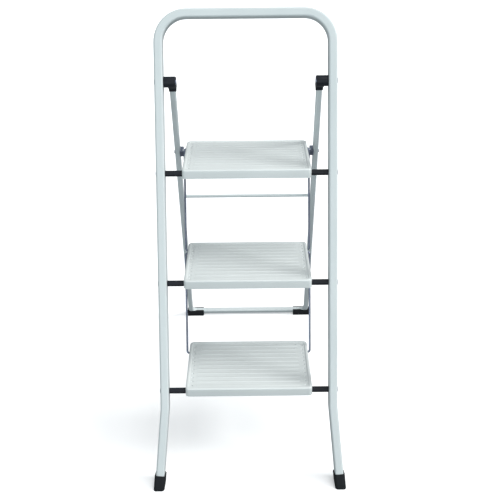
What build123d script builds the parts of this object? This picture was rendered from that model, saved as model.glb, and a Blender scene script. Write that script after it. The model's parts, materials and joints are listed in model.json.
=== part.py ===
"""Folding step ladder with three hinged steps, a rear support frame and a hand hoop.

Millimetres, +Z up, +X to the user's right, +Y away from the user who climbs it.
The origin is on the floor, midway between the front shoes and the rear feet.

The ladder stands open. Three kinds of local frame are used:
  front frame  z runs up the rails from the floor, y points away from the user
  rear frame   z runs up the legs from the hinge, y points away from the user
  step frame   the step's own axle is the origin, y runs back along the tread

Across its width the ladder is laid out from the middle: half a step, the link rod
beside it, the catch, the leg, the hinge boss and last the rail.
"""
import os
from math import atan, cos, degrees, hypot, radians, sin

from build123d import *

os.makedirs("parts", exist_ok=True)

# ---------------------------------------------------------------- driving sizes
# Steps.
step_width = 300.0
step_depth = 205.0
step_lip = 21.4              # height of the flange that runs all round
sheet = 1.2
axle_from_front = 12.0       # axle behind the front edge
axle_above_rim = 9.2         # axle over the flange's lower edge
first_axle = 232.3           # floor to the lowest axle, up the rail
step_pitch = 257.0           # axle to axle, up the rail
rear_corner = 10.0
front_corner = 7.5
top_round = 2.5

# Front frame: one bent tube that forms two rails and the hoop.
front_lean = 21.5            # degrees from upright
rail_width = 20.0            # tube size seen from the front
rail_depth = 34.0            # tube size seen from the side
rail_corner = 4.5
tube_wall = 1.2
hoop_rise = 153.0            # hinge to the hoop's centre line, up the rail
hoop_bend = 65.0             # centre line radius of the two top corners
splay_start = 192.3          # the rails turn outwards below this
splay_out = 16.9             # how far each foot stands out
splay_bend = 90.0

# Shoes on the front rails.
shoe_wall = 3.0
shoe_height = 29.0
sole = 4.0
shoe_round = 1.0             # the boot's corners are this much tighter than an even wall

# Axles, spacer sleeves and their end caps.
axle_r = 4.0
axle_stub = 0.6              # axle end outside the rail
running = 0.06               # radial clearance of every turning fit
snug = 0.02                  # radial clearance of every fixed fit
side_gap = 0.3               # between neighbouring faces that move past each other
sleeve_r = 7.0
sleeve_chamfer = 0.6
cap_r = 6.5
cap_height = 1.6
head_round = 0.7             # rounded share of the height of every domed head

# Rear frame: one bent tube, hung from the rails.
rear_lean = 25.8             # degrees from upright
leg_width = 14.0
leg_depth = 15.0
leg_corner = 3.5
leg_spread = 15.5            # how far each foot stands outside its hinge
leg_bend = 20.0
fold_gap = 1.0               # folded legs behind the spacer sleeves
foot_sole = 3.5
brace_r = 4.0
brace_down = 417.0           # hinge to the cross brace, down the leg

# Hinge pins, and the brackets on the tops of the legs.
hinge_room = 11.5            # leg to rail
boss_r = 12.5
bracket_wall = 1.7           # on the sides of the leg
bracket_thick = 2.7          # in front of the leg and behind it
socket_start = 10.0          # below the hinge, where the leg's tube ends
socket_length = 24.0
socket_roof = 3.0            # plastic over the end of the tube
neck_length = 16.0           # of the web between boss and socket
pin_head_r = 6.0
pin_head = 2.0
pin_cap = 1.6

# Rubber feet under the corners of the rear frame.
foot_length = 52.0
foot_depth = 26.0
foot_height = 17.0
foot_wall = 3.0
foot_round = 3.0

# Link rods that turn the three steps together, and their clips.
link_r = 2.5
link_bend = 6.0
link_gap = 0.4               # flange to the start of the rod's bend
link_drop = 4.0              # rod's eyes under the axles
link_tail = 8.0              # length of rod inside the step
clip_r = 6.0
clip_thick = 1.0
clip_gap = 1.0               # between the clips of two rods on the middle step

# Support rod under the top step, and the catches it rests in.
support_r = 3.5
support_inset = 4.0          # rod in from the step's rear edge
support_chamfer = 0.5
support_clear = 0.4          # rod end to the hinge bracket
support_ahead = 4.8          # rod in front of the middle of the leg
catch_room = 0.6             # link rod to catch
catch_reach = 4.5            # catch end to leg
catch_bite = 1.5             # catch let in around the leg
catch_wall = 2.2
catch_clear = 0.35
catch_rise = 2.5             # hook above the middle of the rod
catch_tail = 8.5            # plate that runs down the leg from the hook
rivet_r = 2.5
rivet_head_r = 4.5
rivet_head = 1.6
rivet_below = 9.0            # catch rivet under the support rod
rivet_hold = 1.5             # rivet shank short of the inner face
socket_rivet = 15.0          # hinge bracket's rivet, below the top of the tube

# Folding. The steps turn up as the rear frame swings in.
fold_range = 46.0
step_range = 66.0
catch_travel = 9.6           # rear frame's swing in which the rod leaves its catch
catch_cuts = 6

spare = 60.0                 # extra length that is cut off again
far = 400.0                  # further than any piece reaches from the cut

# ---------------------------------------------------------------- worked out
lean = radians(front_lean)
leg_lean = radians(rear_lean)
step_names = ["bottom", "middle", "top"]
sides = [("left", -1), ("right", 1)]

# Across the width, from the middle outwards.
step_side = step_width / 2
link_x = step_side + link_gap + link_bend
catch_inner = link_x + link_r + catch_room
leg_inner = catch_inner + catch_reach
bracket_inner = leg_inner - bracket_wall
support_end = bracket_inner - support_clear
leg_top_x = leg_inner + leg_width / 2
rail_inner = leg_inner + leg_width + hinge_room
rail_x = rail_inner + rail_width / 2
rail_outer = rail_inner + rail_width

# Along a step, measured from its axle.
step_back = step_depth - axle_from_front
support_back = step_back - support_inset
support_drop = axle_above_rim + support_r
upper_link_back = step_back - rear_corner - clip_r
lower_link_back = upper_link_back - 2 * clip_r - clip_gap

# Up the rail. The folded legs lie just behind the spacer sleeves, and the hinge is
# where the legs reach the top step's support rod.
axle_up = [first_axle + n * step_pitch for n in range(3)]
leg_back = sleeve_r + leg_depth / 2 + fold_gap
leg_to_rod = support_back * cos(leg_lean) - support_drop * sin(leg_lean)
hinge_up = axle_up[2] + (leg_to_rod - leg_back + support_ahead) / sin(lean + leg_lean)
hinge_y = hinge_up * sin(lean)
hinge_z = hinge_up * cos(lean)
hoop_length = hinge_up + hoop_rise

# Down the leg.
bar_half = (leg_width * cos(leg_lean) + leg_depth * sin(leg_lean)) / 2 - leg_corner / 3
bar_z = foot_sole + bar_half
bar_down = (hinge_z + leg_back * sin(leg_lean) - bar_z) / cos(leg_lean)
bar_y = hinge_y + leg_back * cos(leg_lean) + bar_down * sin(leg_lean)
leg_slope = leg_spread / bar_down
socket_rivet_z = -(socket_start + socket_rivet)

# The floor under the ladder.
front_edge = -(rail_depth / 2 + shoe_wall) / cos(lean)
rear_edge = bar_y + foot_depth / 2
floor_y = (front_edge + rear_edge) / 2


def leg_x(down):
    """Distance of a leg's centre line from the middle, this far below the hinge."""
    return leg_top_x + leg_slope * down


def support_path(fold):
    """The support rod's place in the rear frame's axes after this much folding."""
    turn = radians(fold * step_range / fold_range)
    back = support_back * cos(turn) + support_drop * sin(turn)
    rise = support_back * sin(turn) - support_drop * cos(turn)
    dy = axle_up[2] * sin(lean) + back - hinge_y
    dz = axle_up[2] * cos(lean) + rise - hinge_z
    now = leg_lean - radians(fold)
    return dy * cos(now) + dz * sin(now), -dy * sin(now) + dz * cos(now)


catch_y, catch_z = support_path(0)
catch_rivet_z = catch_z - rivet_below


# ---------------------------------------------------------------- placing
def in_front(shape):
    """From the front frame's own axes to the ladder's."""
    return Pos(0, -floor_y, 0) * Rot(-front_lean, 0, 0) * shape


def in_rear(shape):
    """From the rear frame's own axes to the ladder's."""
    return Pos(0, hinge_y - floor_y, hinge_z) * Rot(rear_lean, 0, 0) * shape


def in_step(shape, up):
    """From a step's own axes to the ladder's, for the axle this far up the rail."""
    return Pos(0, up * sin(lean) - floor_y, up * cos(lean)) * shape


def save(shape, name):
    """Write one node as a group of one or more closed solids."""
    solids = list(shape.solids())
    whole = solids[0] if len(solids) == 1 else Compound(children=solids)
    export_step(whole, f"parts/{name}.step")


# ---------------------------------------------------------------- small shapes
def rod(x_from, x_to, radius, y=0.0, z=0.0):
    """A cylinder along X."""
    length = abs(x_to - x_from)
    return Pos((x_from + x_to) / 2, y, z) * Rot(0, 90, 0) * Cylinder(radius, length)


def slab(x_from, x_to, y_from, y_to, z_from, z_to):
    """A box given by its two corners."""
    centre = ((x_from + x_to) / 2, (y_from + y_to) / 2, (z_from + z_to) / 2)
    return Pos(*centre) * Box(abs(x_to - x_from), abs(y_to - y_from), abs(z_to - z_from))


def dome(x_face, side, radius, height, y=0.0, z=0.0):
    """A low domed head that sits on the plane x = x_face and bulges outwards."""
    disc = Cylinder(radius, height, align=(Align.CENTER, Align.CENTER, Align.MIN))
    rim = disc.edges().group_by(Axis.Z)[-1]
    disc = fillet(rim, height * head_round)
    return Pos(x_face, y, z) * Rot(0, 90 * side, 0) * disc


def channel(x_from, x_to, radius, start, end):
    """The space a rod along X sweeps as it moves from one (y, z) to another."""
    dy = end[0] - start[0]
    dz = end[1] - start[1]
    middle = (x_from, (start[0] + end[0]) / 2, (start[1] + end[1]) / 2)
    across = Plane(origin=middle, x_dir=(0, dy, dz), z_dir=(1, 0, 0))
    return extrude(across * SlotCenterToCenter(hypot(dy, dz), 2 * radius), x_to - x_from)


def bent_tube(points, radii, width, depth, corner, inset=0.0):
    """Sweep a rounded rectangle along a flat path in the XZ plane."""
    path = Plane.XZ * FilletPolyline(*points, radius=radii)
    start = Plane(origin=path @ 0, x_dir=(0, 1, 0), z_dir=path % 0)
    outline = start * RectangleRounded(depth - 2 * inset, width - 2 * inset, corner - inset)
    return sweep(outline, path=path)


# ---------------------------------------------------------------- front frame
def front_tube_solid(inset=0.0):
    """The whole bent tube of the front frame, before its feet are cut level."""
    foot_x = rail_x + splay_out * (splay_start + spare) / splay_start
    right = [(foot_x, -spare), (rail_x, splay_start), (rail_x, hoop_length)]
    left = [(-x, up) for x, up in reversed(right)]
    radii = [splay_bend, hoop_bend, hoop_bend, splay_bend]
    return bent_tube(right + left, radii, rail_width, rail_depth, rail_corner, inset)


def below_level(height):
    """Everything of the front frame's feet that is lower than this height."""
    return slab(-far, far, -far / 2, far / 2, height - far, height)


def front_frame():
    """Hollow tube with level feet, drilled for the axles and the hinge pins."""
    outer = Rot(-front_lean, 0, 0) * front_tube_solid()
    inner = Rot(-front_lean, 0, 0) * front_tube_solid(tube_wall)
    tube = outer - inner - below_level(sole)
    reach = rail_outer + spare
    for up in axle_up + [hinge_up]:
        tube -= rod(-reach, reach, axle_r + snug, up * sin(lean), up * cos(lean))
    return Pos(0, -floor_y, 0) * tube


def front_shoe(side):
    """Rubber boot over the end of one rail, with a level sole."""
    turn = degrees(atan(splay_out / splay_start))
    blank = RectangleRounded(rail_width + 2 * shoe_wall, rail_depth + 2 * shoe_wall,
                             rail_corner + shoe_wall - shoe_round)
    boot = Pos(0, 0, -spare) * extrude(blank, shoe_height + spare)
    boot = Pos(side * (rail_x + splay_out), 0, 0) * Rot(0, -side * turn, 0) * boot
    boot = Rot(-front_lean, 0, 0) * boot
    half = slab(0, side * far, -far, far, -spare, far)
    tube = (Rot(-front_lean, 0, 0) * front_tube_solid()) & half
    boot = boot - (tube - below_level(sole)) - below_level(0)
    return Pos(0, -floor_y, 0) * boot


def axle(up):
    """Steel rod across both rails, on which one step turns."""
    reach = rail_outer + axle_stub
    return in_front(rod(-reach, reach, axle_r, 0, up))


def sleeve(up, side):
    """Plastic spacer between a rail and the side of a step."""
    inner = side * (step_side + side_gap)
    outer = side * (rail_inner - snug)
    tube = rod(inner, outer, sleeve_r) - rod(inner - side, outer + side, axle_r + snug)
    rims = tube.edges().filter_by(GeomType.CIRCLE).sort_by(SortBy.RADIUS)[-2:]
    tube = chamfer(rims, sleeve_chamfer)
    return in_front(Pos(0, 0, up) * tube)


def end_caps():
    """Push-on caps that close the ends of the three axles."""
    caps = []
    for up in axle_up:
        for _, side in sides:
            cap = dome(side * (rail_outer + snug), side, cap_r, cap_height)
            cap -= rod(0, side * (rail_outer + axle_stub + snug), axle_r + snug)
            caps.append(in_front(Pos(0, 0, up) * cap))
    return Compound(children=caps)


def hinge_pin(side):
    """Rivet through a rail that carries one leg of the rear frame."""
    inner = side * (bracket_inner - side_gap)
    outer = side * (rail_outer + snug)
    pin = rod(inner, outer, axle_r)
    pin += dome(outer, side, cap_r, pin_cap)
    pin += dome(inner, -side, pin_head_r, pin_head)
    return in_front(Pos(0, 0, hinge_up) * pin)


# ---------------------------------------------------------------- rear frame
def rear_tube_solid(inset=0.0):
    """The U-shaped tube of the rear frame: leg, floor bar and leg."""
    right = [(leg_x(socket_start), -socket_start), (leg_x(bar_down), -bar_down)]
    left = [(-x, up) for x, up in reversed(right)]
    tube = bent_tube(right + left, [leg_bend, leg_bend], leg_width, leg_depth, leg_corner, inset)
    return Pos(0, leg_back, 0) * tube


def rivet_hole(side, z, radius):
    """A hole through one leg and all that is riveted to it there."""
    return rod(side * (leg_inner - spare / 2), side * (rail_outer), radius, leg_back, z)


def rear_frame():
    """Hollow tube of the rear frame, drilled for the rivets of its fittings."""
    tube = rear_tube_solid() - rear_tube_solid(tube_wall)
    for _, side in sides:
        tube -= rivet_hole(side, catch_rivet_z, rivet_r + snug)
        tube -= rivet_hole(side, socket_rivet_z, rivet_r + snug)
    return in_rear(tube)


def brace():
    """Round bar welded between the legs."""
    reach = leg_x(brace_down)
    bar = rod(-reach, reach, brace_r, leg_back, -brace_down)
    return in_rear(bar - rear_tube_solid())


def hinge_bracket(side):
    """Plastic fitting: a socket over the leg's top with a boss that turns on the hinge pin."""
    inner = bracket_inner
    outer = leg_top_x + leg_width / 2 + bracket_wall
    top = socket_roof - socket_start
    low = -(socket_start + socket_length)
    front = leg_back - leg_depth / 2 - bracket_thick
    back = leg_back + leg_depth / 2 + bracket_thick
    cheek = slab(inner, outer, front, back, low, top)
    boss = rod(inner, rail_inner - side_gap, boss_r)
    web_low = -(socket_start + neck_length)
    web_points = [(-boss_r * cos(leg_lean), -boss_r * sin(leg_lean)), (0, boss_r), (back, top),
                  (back, web_low), (front, web_low)]
    web = Plane.YZ * make_face(Polyline(*web_points, close=True))
    web = Pos(inner, 0, 0) * extrude(web, outer - inner)
    body = cheek + boss + web
    body -= rod(inner - sheet, rail_inner, axle_r + running)
    body = body if side > 0 else mirror(body, Plane.YZ)
    body -= rear_tube_solid()
    body -= rivet_hole(side, socket_rivet_z, rivet_r + snug)
    return in_rear(body)


def rear_foot(side):
    """Rubber cradle under one corner of the rear frame, flat on the floor."""
    outer = leg_x(bar_down) + leg_width / 2 + foot_wall
    middle = bar_y - floor_y
    block = slab(side * (outer - foot_length), side * outer, middle - foot_depth / 2,
                 middle + foot_depth / 2, 0, foot_height)
    block = fillet(block.edges().filter_by(Axis.Z), foot_round)
    return block - in_rear(rear_tube_solid())


def catch_clip(side):
    """Hook on the inner face of a leg, in which the top step's support rod rests."""
    outer = leg_x(-catch_z) - leg_width / 2 + catch_bite
    hold = support_r + catch_clear
    front = catch_y - hold - catch_wall
    low = catch_z - hold - catch_wall - catch_tail
    shape = slab(catch_inner, outer, front, leg_back + leg_depth / 2, low, catch_z + catch_rise)
    stops = [support_path(catch_travel * n / catch_cuts) for n in range(catch_cuts + 1)]
    for start, end in zip(stops, stops[1:]):
        shape -= channel(catch_inner - sheet, outer + sheet, hold, start, end)
    shape = shape if side > 0 else mirror(shape, Plane.YZ)
    shape -= rear_tube_solid()
    shape -= rivet_hole(side, catch_rivet_z, rivet_r + snug)
    return in_rear(shape)


def leg_rivets():
    """Rivets that hold the catches and the hinge brackets to the legs."""
    rivets = []
    for _, side in sides:
        for z, inner, over in ((catch_rivet_z, catch_inner, 0),
                               (socket_rivet_z, bracket_inner, bracket_wall)):
            outer = leg_x(-z) + leg_width / 2 + over + side_gap
            shank = rod(side * (inner + rivet_hold), side * outer, rivet_r, leg_back, z)
            head = dome(side * outer, side, rivet_head_r, rivet_head, leg_back, z)
            rivets.append(in_rear(shank + head))
    return Compound(children=rivets)


# ---------------------------------------------------------------- steps
def step_blank(inset, height):
    """The rounded plan shape of a step, pulled in all round by the inset."""
    half = step_side - inset
    block = slab(-half, half, inset - axle_from_front, step_back - inset, 0, height)
    rear = block.edges().filter_by(Axis.Z).group_by(Axis.Y)[-1]
    block = fillet(rear, rear_corner - inset)
    front = block.edges().filter_by(Axis.Z).group_by(Axis.Y)[0]
    return fillet(front, front_corner - inset)


def tread(level):
    """Pressed sheet pan: a walking surface with flanges turned down all round."""
    pan = step_blank(0, step_lip)
    pan = fillet(pan.edges().group_by(Axis.Z)[-1], top_round)
    pan -= Pos(0, 0, -sheet) * step_blank(sheet, step_lip)
    pan = Pos(0, 0, -axle_above_rim) * pan
    reach = step_side + sheet
    pan -= rod(-reach, reach, axle_r + running)
    backs = {"bottom": [lower_link_back], "middle": [lower_link_back, upper_link_back],
             "top": [upper_link_back]}[level]
    for back in backs:
        pan -= rod(-reach, reach, link_r + running, back, -link_drop)
    return in_step(pan, axle_up[step_names.index(level)])


def support_rod():
    """Round bar welded under the back of the top step, resting in the catches."""
    bar = rod(-support_end, support_end, support_r, support_back, -support_drop)
    bar = chamfer(bar.edges().filter_by(GeomType.CIRCLE), support_chamfer)
    return in_step(bar, axle_up[2])


# ---------------------------------------------------------------- link rods
def link(side, back, lower_up):
    """Steel rod beside two steps, with both ends bent in through their flanges."""
    rise = Vector(0, step_pitch * sin(lean), step_pitch * cos(lean))
    eye = Vector(side * (step_side - link_tail), back, -link_drop)
    bend = Vector(side * link_x, back, -link_drop)
    path = FilletPolyline(eye, bend, bend + rise, eye + rise, radius=link_bend)
    start = Plane(origin=path @ 0, z_dir=path % 0)
    wire = sweep(start * Circle(link_r), path=path)
    return in_step(wire, lower_up)


def link_clips(side, back, lower_up):
    """Push-on clips that keep both ends of one link in their holes."""
    face = side * (step_side - sheet - side_gap)
    clips = []
    for up in (lower_up, lower_up + step_pitch):
        clip = rod(face, face - side * clip_thick, clip_r, back, -link_drop)
        clip -= rod(face, face - side * link_tail, link_r + snug, back, -link_drop)
        clips.append(in_step(clip, up))
    return Compound(children=clips)


# ---------------------------------------------------------------- write the nodes
save(front_frame(), "front_frame")
save(end_caps(), "axle_end_caps")
save(rear_frame(), "rear_frame")
save(brace(), "rear_cross_brace")
save(leg_rivets(), "leg_rivets")
save(support_rod(), "top_step_support_rod")
for level, up in zip(step_names, axle_up):
    save(tread(level), f"{level}_step")
    save(axle(up), f"{level}_step_axle")
    for name, side in sides:
        save(sleeve(up, side), f"{level}_sleeve_{name}")
for name, side in sides:
    save(front_shoe(side), f"front_shoe_{name}")
    save(hinge_pin(side), f"hinge_pin_{name}")
    save(hinge_bracket(side), f"hinge_bracket_{name}")
    save(rear_foot(side), f"rear_foot_{name}")
    save(catch_clip(side), f"step_catch_{name}")
    save(link(side, upper_link_back, axle_up[1]), f"upper_link_{name}")
    save(link(side, lower_link_back, axle_up[0]), f"lower_link_{name}")
    save(link_clips(side, upper_link_back, axle_up[1]), f"upper_link_clips_{name}")
    save(link_clips(side, lower_link_back, axle_up[0]), f"lower_link_clips_{name}")

print("rails", round(2 * rail_x, 3), "hoop", round(hoop_length, 3), "hinge up", round(hinge_up, 3))
print("floor_y", round(floor_y, 3), "hinge", round(hinge_y - floor_y, 3), round(hinge_z, 3))
for level, up in zip(step_names, axle_up):
    print(level, "axle", round(up * sin(lean) - floor_y, 3), round(up * cos(lean), 3))
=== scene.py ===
# %% [markdown]
# # A folding step ladder in pale painted steel
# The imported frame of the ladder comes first: its tubes, axles, link rods and feet stand where
# the working model puts them, and nothing here moves them. What is added is what the eye
# reads: the pressed pattern of the treads, softened edges on the moulded fittings, and a
# finish for every surface. All sizes are in metres.

# %% Load the frame
import json
from math import cos, pi, radians, sin

import bmesh
import bpy
from mathutils import Matrix, Vector


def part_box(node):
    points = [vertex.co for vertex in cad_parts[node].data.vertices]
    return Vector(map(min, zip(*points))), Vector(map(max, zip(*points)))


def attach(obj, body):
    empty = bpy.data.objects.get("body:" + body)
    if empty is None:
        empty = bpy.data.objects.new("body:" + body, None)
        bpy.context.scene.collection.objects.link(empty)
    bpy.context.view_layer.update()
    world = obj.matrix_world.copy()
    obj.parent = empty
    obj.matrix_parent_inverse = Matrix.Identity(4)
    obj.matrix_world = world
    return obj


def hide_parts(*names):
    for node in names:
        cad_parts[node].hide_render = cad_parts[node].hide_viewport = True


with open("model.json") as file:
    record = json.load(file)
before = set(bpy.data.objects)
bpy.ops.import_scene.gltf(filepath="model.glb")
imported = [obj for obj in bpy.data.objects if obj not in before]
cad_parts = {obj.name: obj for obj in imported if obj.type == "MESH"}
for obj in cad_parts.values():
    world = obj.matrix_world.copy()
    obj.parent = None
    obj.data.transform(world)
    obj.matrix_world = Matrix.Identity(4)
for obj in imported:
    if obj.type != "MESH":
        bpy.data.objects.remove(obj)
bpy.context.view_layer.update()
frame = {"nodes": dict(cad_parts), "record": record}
nodes = frame["nodes"]

# %% [markdown]
# ## Camera, floor and light
# The viewer stands in front of the ladder with their eyes well above the top step, so the
# camera looks down at the treads and both hoop corners stay in view. The long lens keeps the
# rails nearly parallel. A floor that curves up into a wall has no horizon line, which is how
# a product studio gets a clean pale ground.

# %% Camera
lens = 59.49
sensor = 36.0
camera_place = Vector((0.0020, -1.9096, 1.4023))
pitch_down = 26.894
yaw = 0.124
roll = -0.502

camera_data = bpy.data.cameras.new("camera")
camera_data.lens = lens
camera_data.sensor_width = sensor
camera_data.dof.use_dof = False
camera = bpy.data.objects.new("camera", camera_data)
bpy.context.scene.collection.objects.link(camera)
turn = Matrix.Rotation(radians(-yaw), 4, "Z")
turn = turn @ Matrix.Rotation(radians(90 - pitch_down), 4, "X")
turn = turn @ Matrix.Rotation(radians(roll), 4, "Z")
camera.matrix_world = Matrix.Translation(camera_place) @ turn
bpy.context.scene.camera = camera
print("camera looks down by", pitch_down, "degrees")

# %% [markdown]
# Modelling here is done the way it is by hand: one piece is active, edit mode is entered, a
# few edges or faces are picked, and one tool is run on them. These helpers keep each of those
# steps to a line, so the cells below read as a list of moves.


# %% Helpers for modelling by hand
def deselect_all():
    """Leave edit mode and select nothing."""
    if bpy.context.mode != "OBJECT":
        bpy.ops.object.mode_set(mode="OBJECT")
    bpy.ops.object.select_all(action="DESELECT")


def make_active(piece):
    """Select only this piece."""
    deselect_all()
    piece.select_set(True)
    bpy.context.view_layer.objects.active = piece


def added(name):
    """The piece that the last operator added, with its name."""
    piece = bpy.context.active_object
    piece.name = name
    piece.data.name = name
    return piece


def duplicate(piece, name=None):
    """A linked-in copy of a piece with a mesh of its own."""
    copy = piece.copy()
    copy.data = piece.data.copy()
    if name:
        copy.name = name
        copy.data.name = name
    bpy.context.scene.collection.objects.link(copy)
    return copy


def pick(piece, kind, test):
    """In edit mode, select only the vertices, edges or faces that pass the test."""
    mode = {"verts": "VERT", "edges": "EDGE", "faces": "FACE"}[kind]
    bpy.ops.mesh.select_mode(type=mode)
    bpy.ops.mesh.select_all(action="DESELECT")
    mesh = bmesh.from_edit_mesh(piece.data)
    for part in getattr(mesh, kind):
        part.select_set(test(part))
    mesh.select_flush_mode()
    bmesh.update_edit_mesh(piece.data)


def middle(edge):
    """The middle point of an edge."""
    return (edge.verts[0].co + edge.verts[1].co) / 2


def upright(edge):
    """True where an edge runs up, along Z."""
    step = edge.verts[1].co - edge.verts[0].co
    return abs(step.z) > 0.95 * step.length


def apply_all(piece):
    """Apply every modifier of a piece, in order."""
    make_active(piece)
    for modifier in list(piece.modifiers):
        bpy.ops.object.modifier_apply(modifier=modifier.name)


def settle(piece):
    """Put a finished piece's place into its mesh, with its faces pointing outwards."""
    make_active(piece)
    bpy.ops.object.transform_apply(location=True, rotation=True, scale=True)
    bpy.ops.object.mode_set(mode="EDIT")
    bpy.ops.mesh.select_all(action="SELECT")
    bpy.ops.mesh.normals_make_consistent(inside=False)
    bpy.ops.object.mode_set(mode="OBJECT")
    print(piece.name, len(piece.data.polygons), "faces")


def smooth(piece, degrees):
    """Smooth shading with crisp edges where two faces meet at more than this angle."""
    make_active(piece)
    bpy.ops.object.shade_smooth_by_angle(angle=radians(degrees))


# %% [markdown]
# The floor is one plane whose back edge is pulled up into a wall, with a wide round between
# the two. It takes shadows, but bounced light does not see it, so it does not brighten the
# undersides of the treads.

# %% Floor and wall
floor_reach = 6.0
wall_back = 3.2
wall_height = 5.0
wall_curve = 1.6
curve_segments = 16
close = 0.01

deselect_all()
bpy.ops.mesh.primitive_plane_add(size=1.0, location=(0, 0, 0))
floor = added("floor")
floor.scale = (2 * floor_reach, wall_back + floor_reach, 1)
floor.location = (0, (wall_back - floor_reach) / 2, 0)
bpy.ops.object.transform_apply(location=True, rotation=False, scale=True)
bpy.ops.object.mode_set(mode="EDIT")
pick(floor, "edges", lambda e: middle(e).y > wall_back - close)
bpy.ops.mesh.extrude_region_move(TRANSFORM_OT_translate={"value": (0, 0, wall_height)})
pick(floor, "edges", lambda e: abs(middle(e).y - wall_back) < close and middle(e).z < close)
bpy.ops.mesh.bevel(offset=wall_curve, segments=curve_segments, affect="EDGES")
bpy.ops.object.mode_set(mode="OBJECT")
smooth(floor, 60)
floor.visible_diffuse = False
floor.visible_glossy = False
print("floor", len(floor.data.polygons), "faces")

# %% [markdown]
# The room is a soft grey that is a little brighter above than below, which shades the tubes
# from top to bottom. Straight into the camera it is white, so no grey edge shows past the
# floor from any side. Three suns do the rest: a warm one from above, a stronger one from the
# right that models the rails, and a cool low fill from the front.

# %% World
fade_from, fade_to = -0.35, 0.45
light_below, light_above = 0.28, 0.42
white_to_camera = 1.1
room_colour = (0.90, 0.96, 1.0, 1)

world = bpy.data.worlds.new("studio")
bpy.context.scene.world = world
world.use_nodes = True
sky = world.node_tree
way = sky.nodes.new("ShaderNodeTexCoord")
split = sky.nodes.new("ShaderNodeSeparateXYZ")
rise = sky.nodes.new("ShaderNodeMapRange")
rise.interpolation_type = "SMOOTHSTEP"
rise.inputs["From Min"].default_value = fade_from
rise.inputs["From Max"].default_value = fade_to
rise.inputs["To Min"].default_value = light_below
rise.inputs["To Max"].default_value = light_above
sky.links.new(way.outputs["Generated"], split.inputs["Vector"])
sky.links.new(split.outputs["Z"], rise.inputs["Value"])
seen = sky.nodes.new("ShaderNodeLightPath")
backdrop = sky.nodes.new("ShaderNodeMix")
backdrop.inputs["B"].default_value = white_to_camera
sky.links.new(seen.outputs["Is Camera Ray"], backdrop.inputs["Factor"])
sky.links.new(rise.outputs["Result"], backdrop.inputs["A"])
sky.links.new(backdrop.outputs["Result"], sky.nodes["Background"].inputs["Strength"])
sky.nodes["Background"].inputs["Color"].default_value = room_colour


# %% Lights
def sun(name, place, strength, spread, colour):
    """A distant light that shines from this place towards the origin."""
    data = bpy.data.lights.new(name, "SUN")
    data.energy = strength
    data.angle = radians(spread)
    data.color = colour
    light = bpy.data.objects.new(name, data)
    light.location = place
    light.rotation_euler = (-Vector(place)).to_track_quat("-Z", "Y").to_euler()
    bpy.context.scene.collection.objects.link(light)


sun("key", place=(0.9, -0.7, 2.7), strength=1.35, spread=40, colour=(1.0, 0.985, 0.96))
sun("side", place=(3.0, -0.3, 2.1), strength=1.95, spread=22, colour=(1.0, 0.995, 0.98))
sun("front_fill", place=(-0.5, -3.0, -0.2), strength=2.05, spread=50, colour=(0.89, 0.98, 1.0))
bpy.context.scene.view_settings.view_transform = "Standard"


# %% [markdown]
# ## Finishes
# Paint, plastic, rubber and zinc all share the same small faults: a slow drift of tone over
# the surface, a fine grain, and sparse scuffs where hands and shoes rub. Each fault is one
# node group, and each finish uses all three with its own values.

# %% Small helpers for node trees
def node(tree, kind, x, y, inputs=None, **values):
    """Add a shader node, set its plain values and then the constants on its inputs."""
    made = tree.nodes.new(kind)
    made.location = (x, y)
    for name, value in values.items():
        setattr(made, name, value)
    for label, value in (inputs or {}).items():
        made.inputs[label].default_value = value
    return made


def new_group(name, inputs, outputs):
    """A node group with named number inputs and named outputs."""
    tree = bpy.data.node_groups.new(name, "ShaderNodeTree")
    number = "NodeSocketFloat"
    for label, default in inputs:
        socket = tree.interface.new_socket(name=label, in_out="INPUT", socket_type=number)
        socket.default_value = default
    for label in outputs:
        tree.interface.new_socket(name=label, in_out="OUTPUT", socket_type=number)
    start = node(tree, "NodeGroupInput", -900, 0)
    end = node(tree, "NodeGroupOutput", 700, 0)
    return tree, start, end


def join(tree, source, target):
    """Link two sockets."""
    tree.links.new(source, target)


# %% Tone drift, grain and scuffs as node groups
def make_tone_group():
    """A slow, soft change of tone, from 0 to 1."""
    tree, start, end = new_group("tone_drift", [("Scale", 6.0)], ["Tone"])
    place = node(tree, "ShaderNodeTexCoord", -900, 300)
    noise = node(tree, "ShaderNodeTexNoise", -500, 200, {"Detail": 3.0, "Roughness": 0.55})
    join(tree, place.outputs["Object"], noise.inputs["Vector"])
    join(tree, start.outputs["Scale"], noise.inputs["Scale"])
    spread = node(tree, "ShaderNodeMapRange", -200, 200, {"From Min": 0.3, "From Max": 0.7})
    join(tree, noise.outputs["Fac"], spread.inputs["Value"])
    join(tree, spread.outputs["Result"], end.inputs["Tone"])
    return tree


def make_grain_group():
    """The height of a fine sprayed or moulded grain, from 0 to 1."""
    tree, start, end = new_group("fine_grain", [("Scale", 900.0), ("Coarse", 0.3)], ["Height"])
    place = node(tree, "ShaderNodeTexCoord", -900, 300)
    wide_to_fine = 0.28
    fine = node(tree, "ShaderNodeTexNoise", -500, 300, {"Detail": 2.0})
    wide = node(tree, "ShaderNodeTexNoise", -500, 0, {"Detail": 1.0})
    share = node(tree, "ShaderNodeMath", -700, 0, {1: wide_to_fine}, operation="MULTIPLY")
    blend = node(tree, "ShaderNodeMix", -200, 200)
    join(tree, place.outputs["Object"], fine.inputs["Vector"])
    join(tree, place.outputs["Object"], wide.inputs["Vector"])
    join(tree, start.outputs["Scale"], fine.inputs["Scale"])
    join(tree, start.outputs["Scale"], share.inputs[0])
    join(tree, share.outputs["Value"], wide.inputs["Scale"])
    join(tree, start.outputs["Coarse"], blend.inputs["Factor"])
    join(tree, fine.outputs["Fac"], blend.inputs["A"])
    join(tree, wide.outputs["Fac"], blend.inputs["B"])
    join(tree, blend.outputs["Result"], end.inputs["Height"])
    return tree


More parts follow.
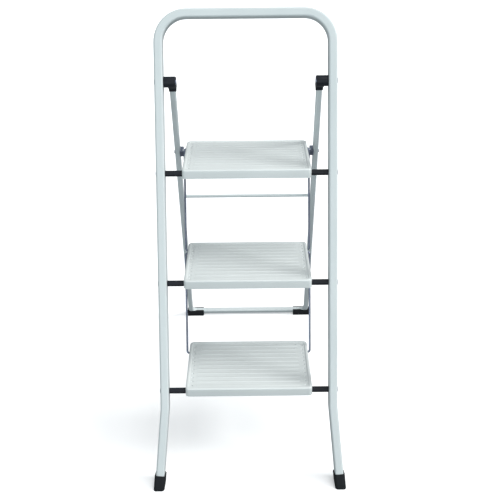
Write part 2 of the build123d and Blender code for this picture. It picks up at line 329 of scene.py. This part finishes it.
def make_scuff_group():
    """A mask of sparse fine scratches and rubbed spots, from 0 to 1."""
    tree, start, end = new_group("scuffs", [("Scale", 30.0), ("Amount", 0.35)], ["Mask"])
    place = node(tree, "ShaderNodeTexCoord", -1100, 300)
    stretch = (0.25, 1.0, 1.0)
    long_way = node(tree, "ShaderNodeMapping", -900, 300, {"Scale": stretch})
    scratch = node(tree, "ShaderNodeTexNoise", -650, 300, {"Detail": 6.0, "Roughness": 0.75})
    where = node(tree, "ShaderNodeTexNoise", -650, 0, {"Scale": 5.0})
    cut = node(tree, "ShaderNodeMapRange", -400, 300, {"From Min": 0.60, "From Max": 0.78})
    patch = node(tree, "ShaderNodeMapRange", -400, 0, {"From Min": 0.42, "From Max": 0.66})
    both = node(tree, "ShaderNodeMath", -150, 200, operation="MULTIPLY")
    scale = node(tree, "ShaderNodeMath", 100, 200, operation="MULTIPLY")
    join(tree, place.outputs["Object"], long_way.inputs["Vector"])
    join(tree, long_way.outputs["Vector"], scratch.inputs["Vector"])
    join(tree, place.outputs["Object"], where.inputs["Vector"])
    join(tree, start.outputs["Scale"], scratch.inputs["Scale"])
    join(tree, scratch.outputs["Fac"], cut.inputs["Value"])
    join(tree, where.outputs["Fac"], patch.inputs["Value"])
    join(tree, cut.outputs["Result"], both.inputs[0])
    join(tree, patch.outputs["Result"], both.inputs[1])
    join(tree, both.outputs["Value"], scale.inputs[0])
    join(tree, start.outputs["Amount"], scale.inputs[1])
    join(tree, scale.outputs["Value"], end.inputs["Mask"])
    return tree


tone_group = make_tone_group()
grain_group = make_grain_group()
scuff_group = make_scuff_group()
print("node groups", [g.name for g in bpy.data.node_groups])


# %% [markdown]
# A finish is a Principled shader whose colour slides between two close tones, whose
# roughness follows the same drift and the scuffs, and whose bump comes from the grain. The
# numbers that differ from paint to rubber are handed in; the wiring is the same, so it is
# written once.

# %% One finish from its numbers
def place_group(tree, group, y, **values):
    """Put a node group into a material with its own values."""
    made = node(tree, "ShaderNodeGroup", -900, y)
    made.node_tree = group
    for label, value in values.items():
        made.inputs[label].default_value = value
    return made


def finish(name, light, dark, rough, rough_spread, grain, grain_depth, tone, scuff,
           scuff_colour=None, metallic=0.0, coarse=0.3, specular=0.5):
    """A material with drifting tone, scuffs and a fine grain."""
    material = bpy.data.materials.new(name)
    material.use_nodes = True
    tree = material.node_tree
    shader = tree.nodes["Principled BSDF"]
    shader.inputs["Metallic"].default_value = metallic
    shader.inputs["Specular IOR Level"].default_value = specular
    drift = place_group(tree, tone_group, 300, Scale=tone)
    marks = place_group(tree, scuff_group, 0, Amount=scuff)
    fine = place_group(tree, grain_group, -300, Scale=grain, Coarse=coarse)
    colour = node(tree, "ShaderNodeMix", -600, 300, {"A": (*dark, 1), "B": (*light, 1)},
                  data_type="RGBA")
    join(tree, drift.outputs["Tone"], colour.inputs["Factor"])
    worn = node(tree, "ShaderNodeMix", -300, 300, {"B": (*(scuff_colour or light), 1)},
                data_type="RGBA")
    join(tree, marks.outputs["Mask"], worn.inputs["Factor"])
    join(tree, colour.outputs["Result"], worn.inputs["A"])
    join(tree, worn.outputs["Result"], shader.inputs["Base Color"])
    dull = node(tree, "ShaderNodeMapRange", -600, 0,
                {"To Min": rough, "To Max": rough + rough_spread})
    join(tree, drift.outputs["Tone"], dull.inputs["Value"])
    rougher = node(tree, "ShaderNodeMath", -300, 0, operation="ADD", use_clamp=True)
    join(tree, dull.outputs["Result"], rougher.inputs[0])
    join(tree, marks.outputs["Mask"], rougher.inputs[1])
    join(tree, rougher.outputs["Value"], shader.inputs["Roughness"])
    bump = node(tree, "ShaderNodeBump", -300, -300, {"Strength": 1.0, "Distance": grain_depth})
    join(tree, fine.outputs["Height"], bump.inputs["Height"])
    join(tree, bump.outputs["Normal"], shader.inputs["Normal"])
    return material


powder_coat = finish(
    "powder_coat", light=(0.60, 0.65, 0.66), dark=(0.555, 0.61, 0.62), rough=0.36,
    rough_spread=0.08, grain=700, grain_depth=0.00003, tone=5.0, scuff=0.12, coarse=0.5)
# The tread paint is the frame's powder coat with more scuffing, made lighter than the frame's coat
# as painted light on the up-facing treads.
tread_coat_with_painted_light = finish(
    "tread_coat_with_painted_light", light=(0.675, 0.715, 0.715), dark=(0.63, 0.67, 0.67), rough=0.42,
    rough_spread=0.08, grain=800, grain_depth=0.00004, tone=7.0, scuff=0.25,
    scuff_colour=(0.58, 0.59, 0.58), coarse=0.5)
black_plastic = finish(
    "black_moulded_plastic", light=(0.011, 0.013, 0.019), dark=(0.007, 0.008, 0.012),
    rough=0.45, rough_spread=0.12, grain=1400, grain_depth=0.00004, tone=20.0, scuff=0.15,
    scuff_colour=(0.03, 0.032, 0.036), specular=0.22)
black_rubber = finish(
    "black_rubber", light=(0.012, 0.014, 0.017), dark=(0.007, 0.008, 0.010), rough=0.6,
    rough_spread=0.15, grain=1100, grain_depth=0.00006, tone=25.0, scuff=0.3,
    scuff_colour=(0.05, 0.05, 0.05), specular=0.22)
zinc = finish(
    "zinc_plate", light=(0.24, 0.26, 0.33), dark=(0.16, 0.18, 0.24), rough=0.30,
    rough_spread=0.14, grain=500, grain_depth=0.00001, tone=40.0, scuff=0.2, metallic=1.0)
floor_paint = finish(
    "floor_paint", light=(0.86, 0.87, 0.88), dark=(0.84, 0.85, 0.86), rough=0.7,
    rough_spread=0.1, grain=60, grain_depth=0.0001, tone=0.6, scuff=0.0)
floor_glow = 0.35
floor_shader = floor_paint.node_tree.nodes["Principled BSDF"]
floor_shader.inputs["Emission Color"].default_value = (1, 1, 1, 1)
floor_shader.inputs["Emission Strength"].default_value = floor_glow
floor.data.materials.append(floor_paint)
print("materials", len(bpy.data.materials))

# %% [markdown]
# The record says which of four materials each part is made of, so the paint follows the record
# and no part is named here.

# %% Finishes on the frame's own nodes
slot_finish = {"painted_steel": powder_coat, "black_plastic": black_plastic,
               "black_rubber": black_rubber, "zinc_steel": zinc}
for part in frame["record"]["subparts"]:
    piece = nodes[part["node"]]
    piece.data.materials.clear()
    piece.data.materials.append(slot_finish[part["material_slot"]])


# %% [markdown]
# ## Moulded fittings
# Moulded parts never have knife edges: the tool that forms them is rounded, and a round edge
# catches a thin line of light. The hinge brackets, the feet and the shoes keep their shape,
# and a copy of each gets a small round on its crisp edges. The copy is merged into one skin
# first, because the imported one is split along its edges.

# %% Soften the edges of a fitting
bracket_round = 0.0008
rubber_round = 0.0009
weld_distance = 0.00001
flat_angle = radians(0.5)
crisp_angle = radians(40)


def softened(name, radius, body):
    """A copy of a frame part with a small round on every crisp edge."""
    piece = duplicate(nodes[name], f"{name}_moulding")
    make_active(piece)
    bpy.ops.object.mode_set(mode="EDIT")
    bpy.ops.mesh.select_all(action="SELECT")
    bpy.ops.mesh.remove_doubles(threshold=weld_distance)
    bpy.ops.mesh.dissolve_limited(angle_limit=flat_angle)
    bpy.ops.object.mode_set(mode="OBJECT")
    bpy.ops.mesh.customdata_custom_splitnormals_clear()
    edge = piece.modifiers.new("round", "BEVEL")
    edge.width = radius
    edge.segments = 3
    edge.limit_method = "ANGLE"
    edge.angle_limit = crisp_angle
    apply_all(piece)
    settle(piece)
    smooth(piece, 30)
    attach(piece, body)
    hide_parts(name)


for side in ("left", "right"):
    softened(f"hinge_bracket_{side}", bracket_round, "rear_support")
    softened(f"rear_foot_{side}", rubber_round, "rear_support")
    softened(f"front_shoe_{side}", rubber_round, "front_ladder")


# %% [markdown]
# ## Treads
# Each step is one pressed sheet. Its border is a rounded rim that stands proud of the walking
# surface, and the surface carries raised ribs from side to side, with a round dimple past
# each end of a rib. The pan is shaped from a box; the ribs and dimples are two small closed shapes,
# copied in rows and added to or cut from the sheet, above and below alike, because a press
# leaves the same pattern on both faces.

# %% Sizes of a tread
step_low, step_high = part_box("bottom_step")
tread_width = step_high.x - step_low.x
tread_depth = step_high.y - step_low.y
tread_lip = step_high.z - step_low.z
sheet = 0.0012
rear_corner = 0.010
front_corner = 0.0075
rim_round = 0.0035
rim_width = 0.0055
rim_slope = 0.0034
rim_height = 0.0020
shoulder_steps = 6
slope_steps = 8
rib_count = 11
rib_pitch = 0.0167
first_rib = 0.0165
rib_half = 0.0036
rib_height = 0.0007
rib_end = 0.0245
dimple_in = 0.0142
dimple_radius = 0.0032
dimple_depth = 0.0024
corner_hole = 0.0013
corner_hole_x = (0.120, 0.072)
corner_hole_inset = (0.0162, 0.0329)
axle_hole = 0.00406
link_hole = 0.00256
link_rod = 0.0025
print("tread", round(tread_width, 4), round(tread_depth, 4), round(tread_lip, 4))

# %% [markdown]
# The pan starts as a box without a bottom. Its upright edges are rounded, then the top face is
# drawn in ring by ring: up over the round shoulder first, then down the slope to the sunken
# panel. Last, the skin is given the thickness of the sheet.


# %% The pan
def rim_profile():
    """Inset from the outside and height of the sheet, from its shoulder in to its panel."""
    turns = [n / shoulder_steps * pi / 2 for n in range(shoulder_steps + 1)]
    shoulder = [(rim_round * (1 - cos(turn)), -rim_round * (1 - sin(turn))) for turn in turns]
    slope = [(rim_width + rim_slope * n / slope_steps,
              -rim_height * (1 - cos(pi * n / slope_steps)) / 2)
             for n in range(slope_steps + 1)]
    return shoulder + slope


def tread_pan():
    """A sheet pan with a raised rim, its walking surface up, its centre at the origin."""
    deselect_all()
    bpy.ops.mesh.primitive_cube_add(size=1.0)
    pan = added("tread_pan")
    pan.scale = (tread_width, tread_depth, tread_lip)
    pan.location = (0, 0, -tread_lip / 2)
    bpy.ops.object.transform_apply(location=True, rotation=True, scale=True)
    bpy.ops.object.mode_set(mode="EDIT")
    pick(pan, "faces", lambda f: f.normal.z < -0.5)
    bpy.ops.mesh.delete(type="FACE")
    pick(pan, "edges", lambda e: upright(e) and middle(e).y > 0)
    bpy.ops.mesh.bevel(offset=rear_corner, segments=8, affect="EDGES")
    touch = 0.0001
    pick(pan, "edges", lambda e: upright(e) and middle(e).y < -tread_depth / 2 + touch
         and abs(middle(e).x) > tread_width / 2 - touch)
    bpy.ops.mesh.bevel(offset=front_corner, segments=6, affect="EDGES")
    pick(pan, "faces", lambda f: f.normal.z > 0.5)
    at_inset, at_height = 0.0, 0.0
    for inset, height in rim_profile():
        if at_inset > 0 or at_height < 0:
            bpy.ops.mesh.extrude_region_move()
        wide = (tread_width - 2 * inset) / (tread_width - 2 * at_inset)
        deep = (tread_depth - 2 * inset) / (tread_depth - 2 * at_inset)
        bpy.ops.transform.resize(value=(wide, deep, 1), center_override=(0, 0, 0))
        bpy.ops.transform.translate(value=(0, 0, height - at_height))
        at_inset, at_height = inset, height
    bpy.ops.object.mode_set(mode="OBJECT")
    wall = pan.modifiers.new("sheet", "SOLIDIFY")
    wall.thickness = sheet
    wall.offset = -1.0
    wall.use_even_offset = True
    apply_all(pan)
    return pan


# %% [markdown]
# A press makes a rib and a dimple by pushing the sheet, so each shows on both faces. Each is
# one closed shape here, copied into rows. It is added on one face and cut from the other, one
# sheet thickness apart, so the metal stays equally thick.


# %% Ribs and dimples
def flat_rib():
    """A long low rib along X with round ends, as a closed shape."""
    deselect_all()
    bpy.ops.mesh.primitive_uv_sphere_add(segments=12, ring_count=7, radius=rib_half,
                                         rotation=(0, pi / 2, 0))
    rib = added("rib")
    bpy.ops.object.transform_apply(location=True, rotation=True, scale=True)
    bpy.ops.object.mode_set(mode="EDIT")
    reach = tread_width / 2 - rib_end - rib_half
    pick(rib, "verts", lambda v: v.co.x > 0)
    bpy.ops.transform.translate(value=(reach, 0, 0))
    pick(rib, "verts", lambda v: v.co.x < 0)
    bpy.ops.transform.translate(value=(-reach, 0, 0))
    bpy.ops.mesh.select_all(action="SELECT")
    bpy.ops.transform.resize(value=(1, 1, rib_height / rib_half))
    bpy.ops.object.mode_set(mode="OBJECT")
    return rib


def round_dimple():
    """A low round lens, as a closed shape."""
    deselect_all()
    bpy.ops.mesh.primitive_uv_sphere_add(segments=16, ring_count=6, radius=dimple_radius)
    dimple = added("dimple")
    dimple.scale = (1, 1, dimple_depth / dimple_radius)
    bpy.ops.object.transform_apply(location=True, rotation=True, scale=True)
    return dimple


def copies(piece, places, name):
    """Copies of a piece at these places, joined into one; the piece itself is removed."""
    made = []
    for place in places:
        copy = duplicate(piece)
        copy.location = place
        made.append(copy)
    bpy.data.objects.remove(piece)
    deselect_all()
    for copy in made:
        copy.select_set(True)
    bpy.context.view_layer.objects.active = made[0]
    bpy.ops.object.transform_apply(location=True, rotation=False, scale=False)
    bpy.ops.object.join()
    return added(name)


def combine(piece, tool, operation, drop):
    """Add a tool to a piece or cut it away, with the tool moved down by this much."""
    copy = duplicate(tool)
    copy.location = (0, 0, -drop)
    make_active(piece)
    change = piece.modifiers.new("combine", "BOOLEAN")
    change.operation = operation
    change.solver = "EXACT"
    change.object = copy
    bpy.ops.object.modifier_apply(modifier=change.name)
    bpy.data.objects.remove(copy)


# %% One tread, with its holes
rib_places = [(0, -tread_depth / 2 + first_rib + n * rib_pitch, -rim_height)
              for n in range(rib_count)]
dimple_x = tread_width / 2 - dimple_in
dimple_places = [(side * dimple_x, y, z) for _, y, z in rib_places for side in (-1, 1)]
corner_holes = [(side * x, inset) for side in (-1, 1) for x in corner_hole_x
                for inset in corner_hole_inset]


def bore(piece, radius, length, place, turn=(0, 0, 0), sides=16):
    """A round hole through a piece, cut straight down unless the drill is turned."""
    deselect_all()
    bpy.ops.mesh.primitive_cylinder_add(vertices=sides, radius=radius, depth=length,
                                        location=place, rotation=turn)
    tool = added("hole")
    bpy.ops.object.transform_apply(location=True, rotation=True, scale=True)
    combine(piece, tool, "DIFFERENCE", 0)
    bpy.data.objects.remove(tool)


def pressed_tread():
    """The pan with its ribs pressed up and its dimples pressed down."""
    pan = tread_pan()
    ribs = copies(flat_rib(), rib_places, "ribs")
    dimples = copies(round_dimple(), dimple_places, "dimples")
    combine(pan, ribs, "UNION", 0)
    combine(pan, ribs, "DIFFERENCE", sheet)
    combine(pan, dimples, "UNION", sheet)
    combine(pan, dimples, "DIFFERENCE", 0)
    for x, inset in corner_holes:
        bore(pan, corner_hole, 4 * sheet, (x, tread_depth / 2 - inset, -rim_height))
    bpy.data.objects.remove(ribs)
    bpy.data.objects.remove(dimples)
    return pan


blank_tread = pressed_tread()
print("pressed tread", len(blank_tread.data.polygons), "faces")


# %% [markdown]
# The three steps are the same pressing and differ only in their side holes: one for the axle
# and one for each link rod that ends there. The holes are placed from the rods themselves, so
# they follow the frame when it changes.

# %% The three treads in place
link_ends = {"bottom": [("lower_link_right", "low")],
             "middle": [("lower_link_right", "high"), ("upper_link_right", "low")],
             "top": [("upper_link_right", "high")]}
bodies = {"bottom": "bottom_tread", "middle": "middle_tread", "top": "top_platform"}


def step_holes(level):
    """Radius, depth and height of each hole in a step's flanges."""
    low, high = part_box(f"{level}_step_axle")
    found = [(axle_hole, (low.y + high.y) / 2, (low.z + high.z) / 2)]
    for name, end in link_ends[level]:
        low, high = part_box(name)
        y = low.y + link_rod if end == "low" else high.y - link_rod
        z = low.z + link_rod if end == "low" else high.z - link_rod
        found.append((link_hole, y, z))
    return found


for level, body in bodies.items():
    low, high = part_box(f"{level}_step")
    tread = duplicate(blank_tread, f"{level}_tread")
    tread.location = ((low.x + high.x) / 2, (low.y + high.y) / 2, high.z)
    make_active(tread)
    bpy.ops.object.transform_apply(location=True, rotation=False, scale=False)
    for radius, y, z in step_holes(level):
        bore(tread, radius, tread_width * 1.2, (0, y, z), turn=(0, pi / 2, 0), sides=24)
    settle(tread)
    smooth(tread, 32)
    # The treads take the lighter copy of the paint; its extra lightness is painted light.
    tread.data.materials.clear()
    tread.data.materials.append(tread_coat_with_painted_light)
    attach(tread, body)
    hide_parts(f"{level}_step")
bpy.data.objects.remove(blank_tread)
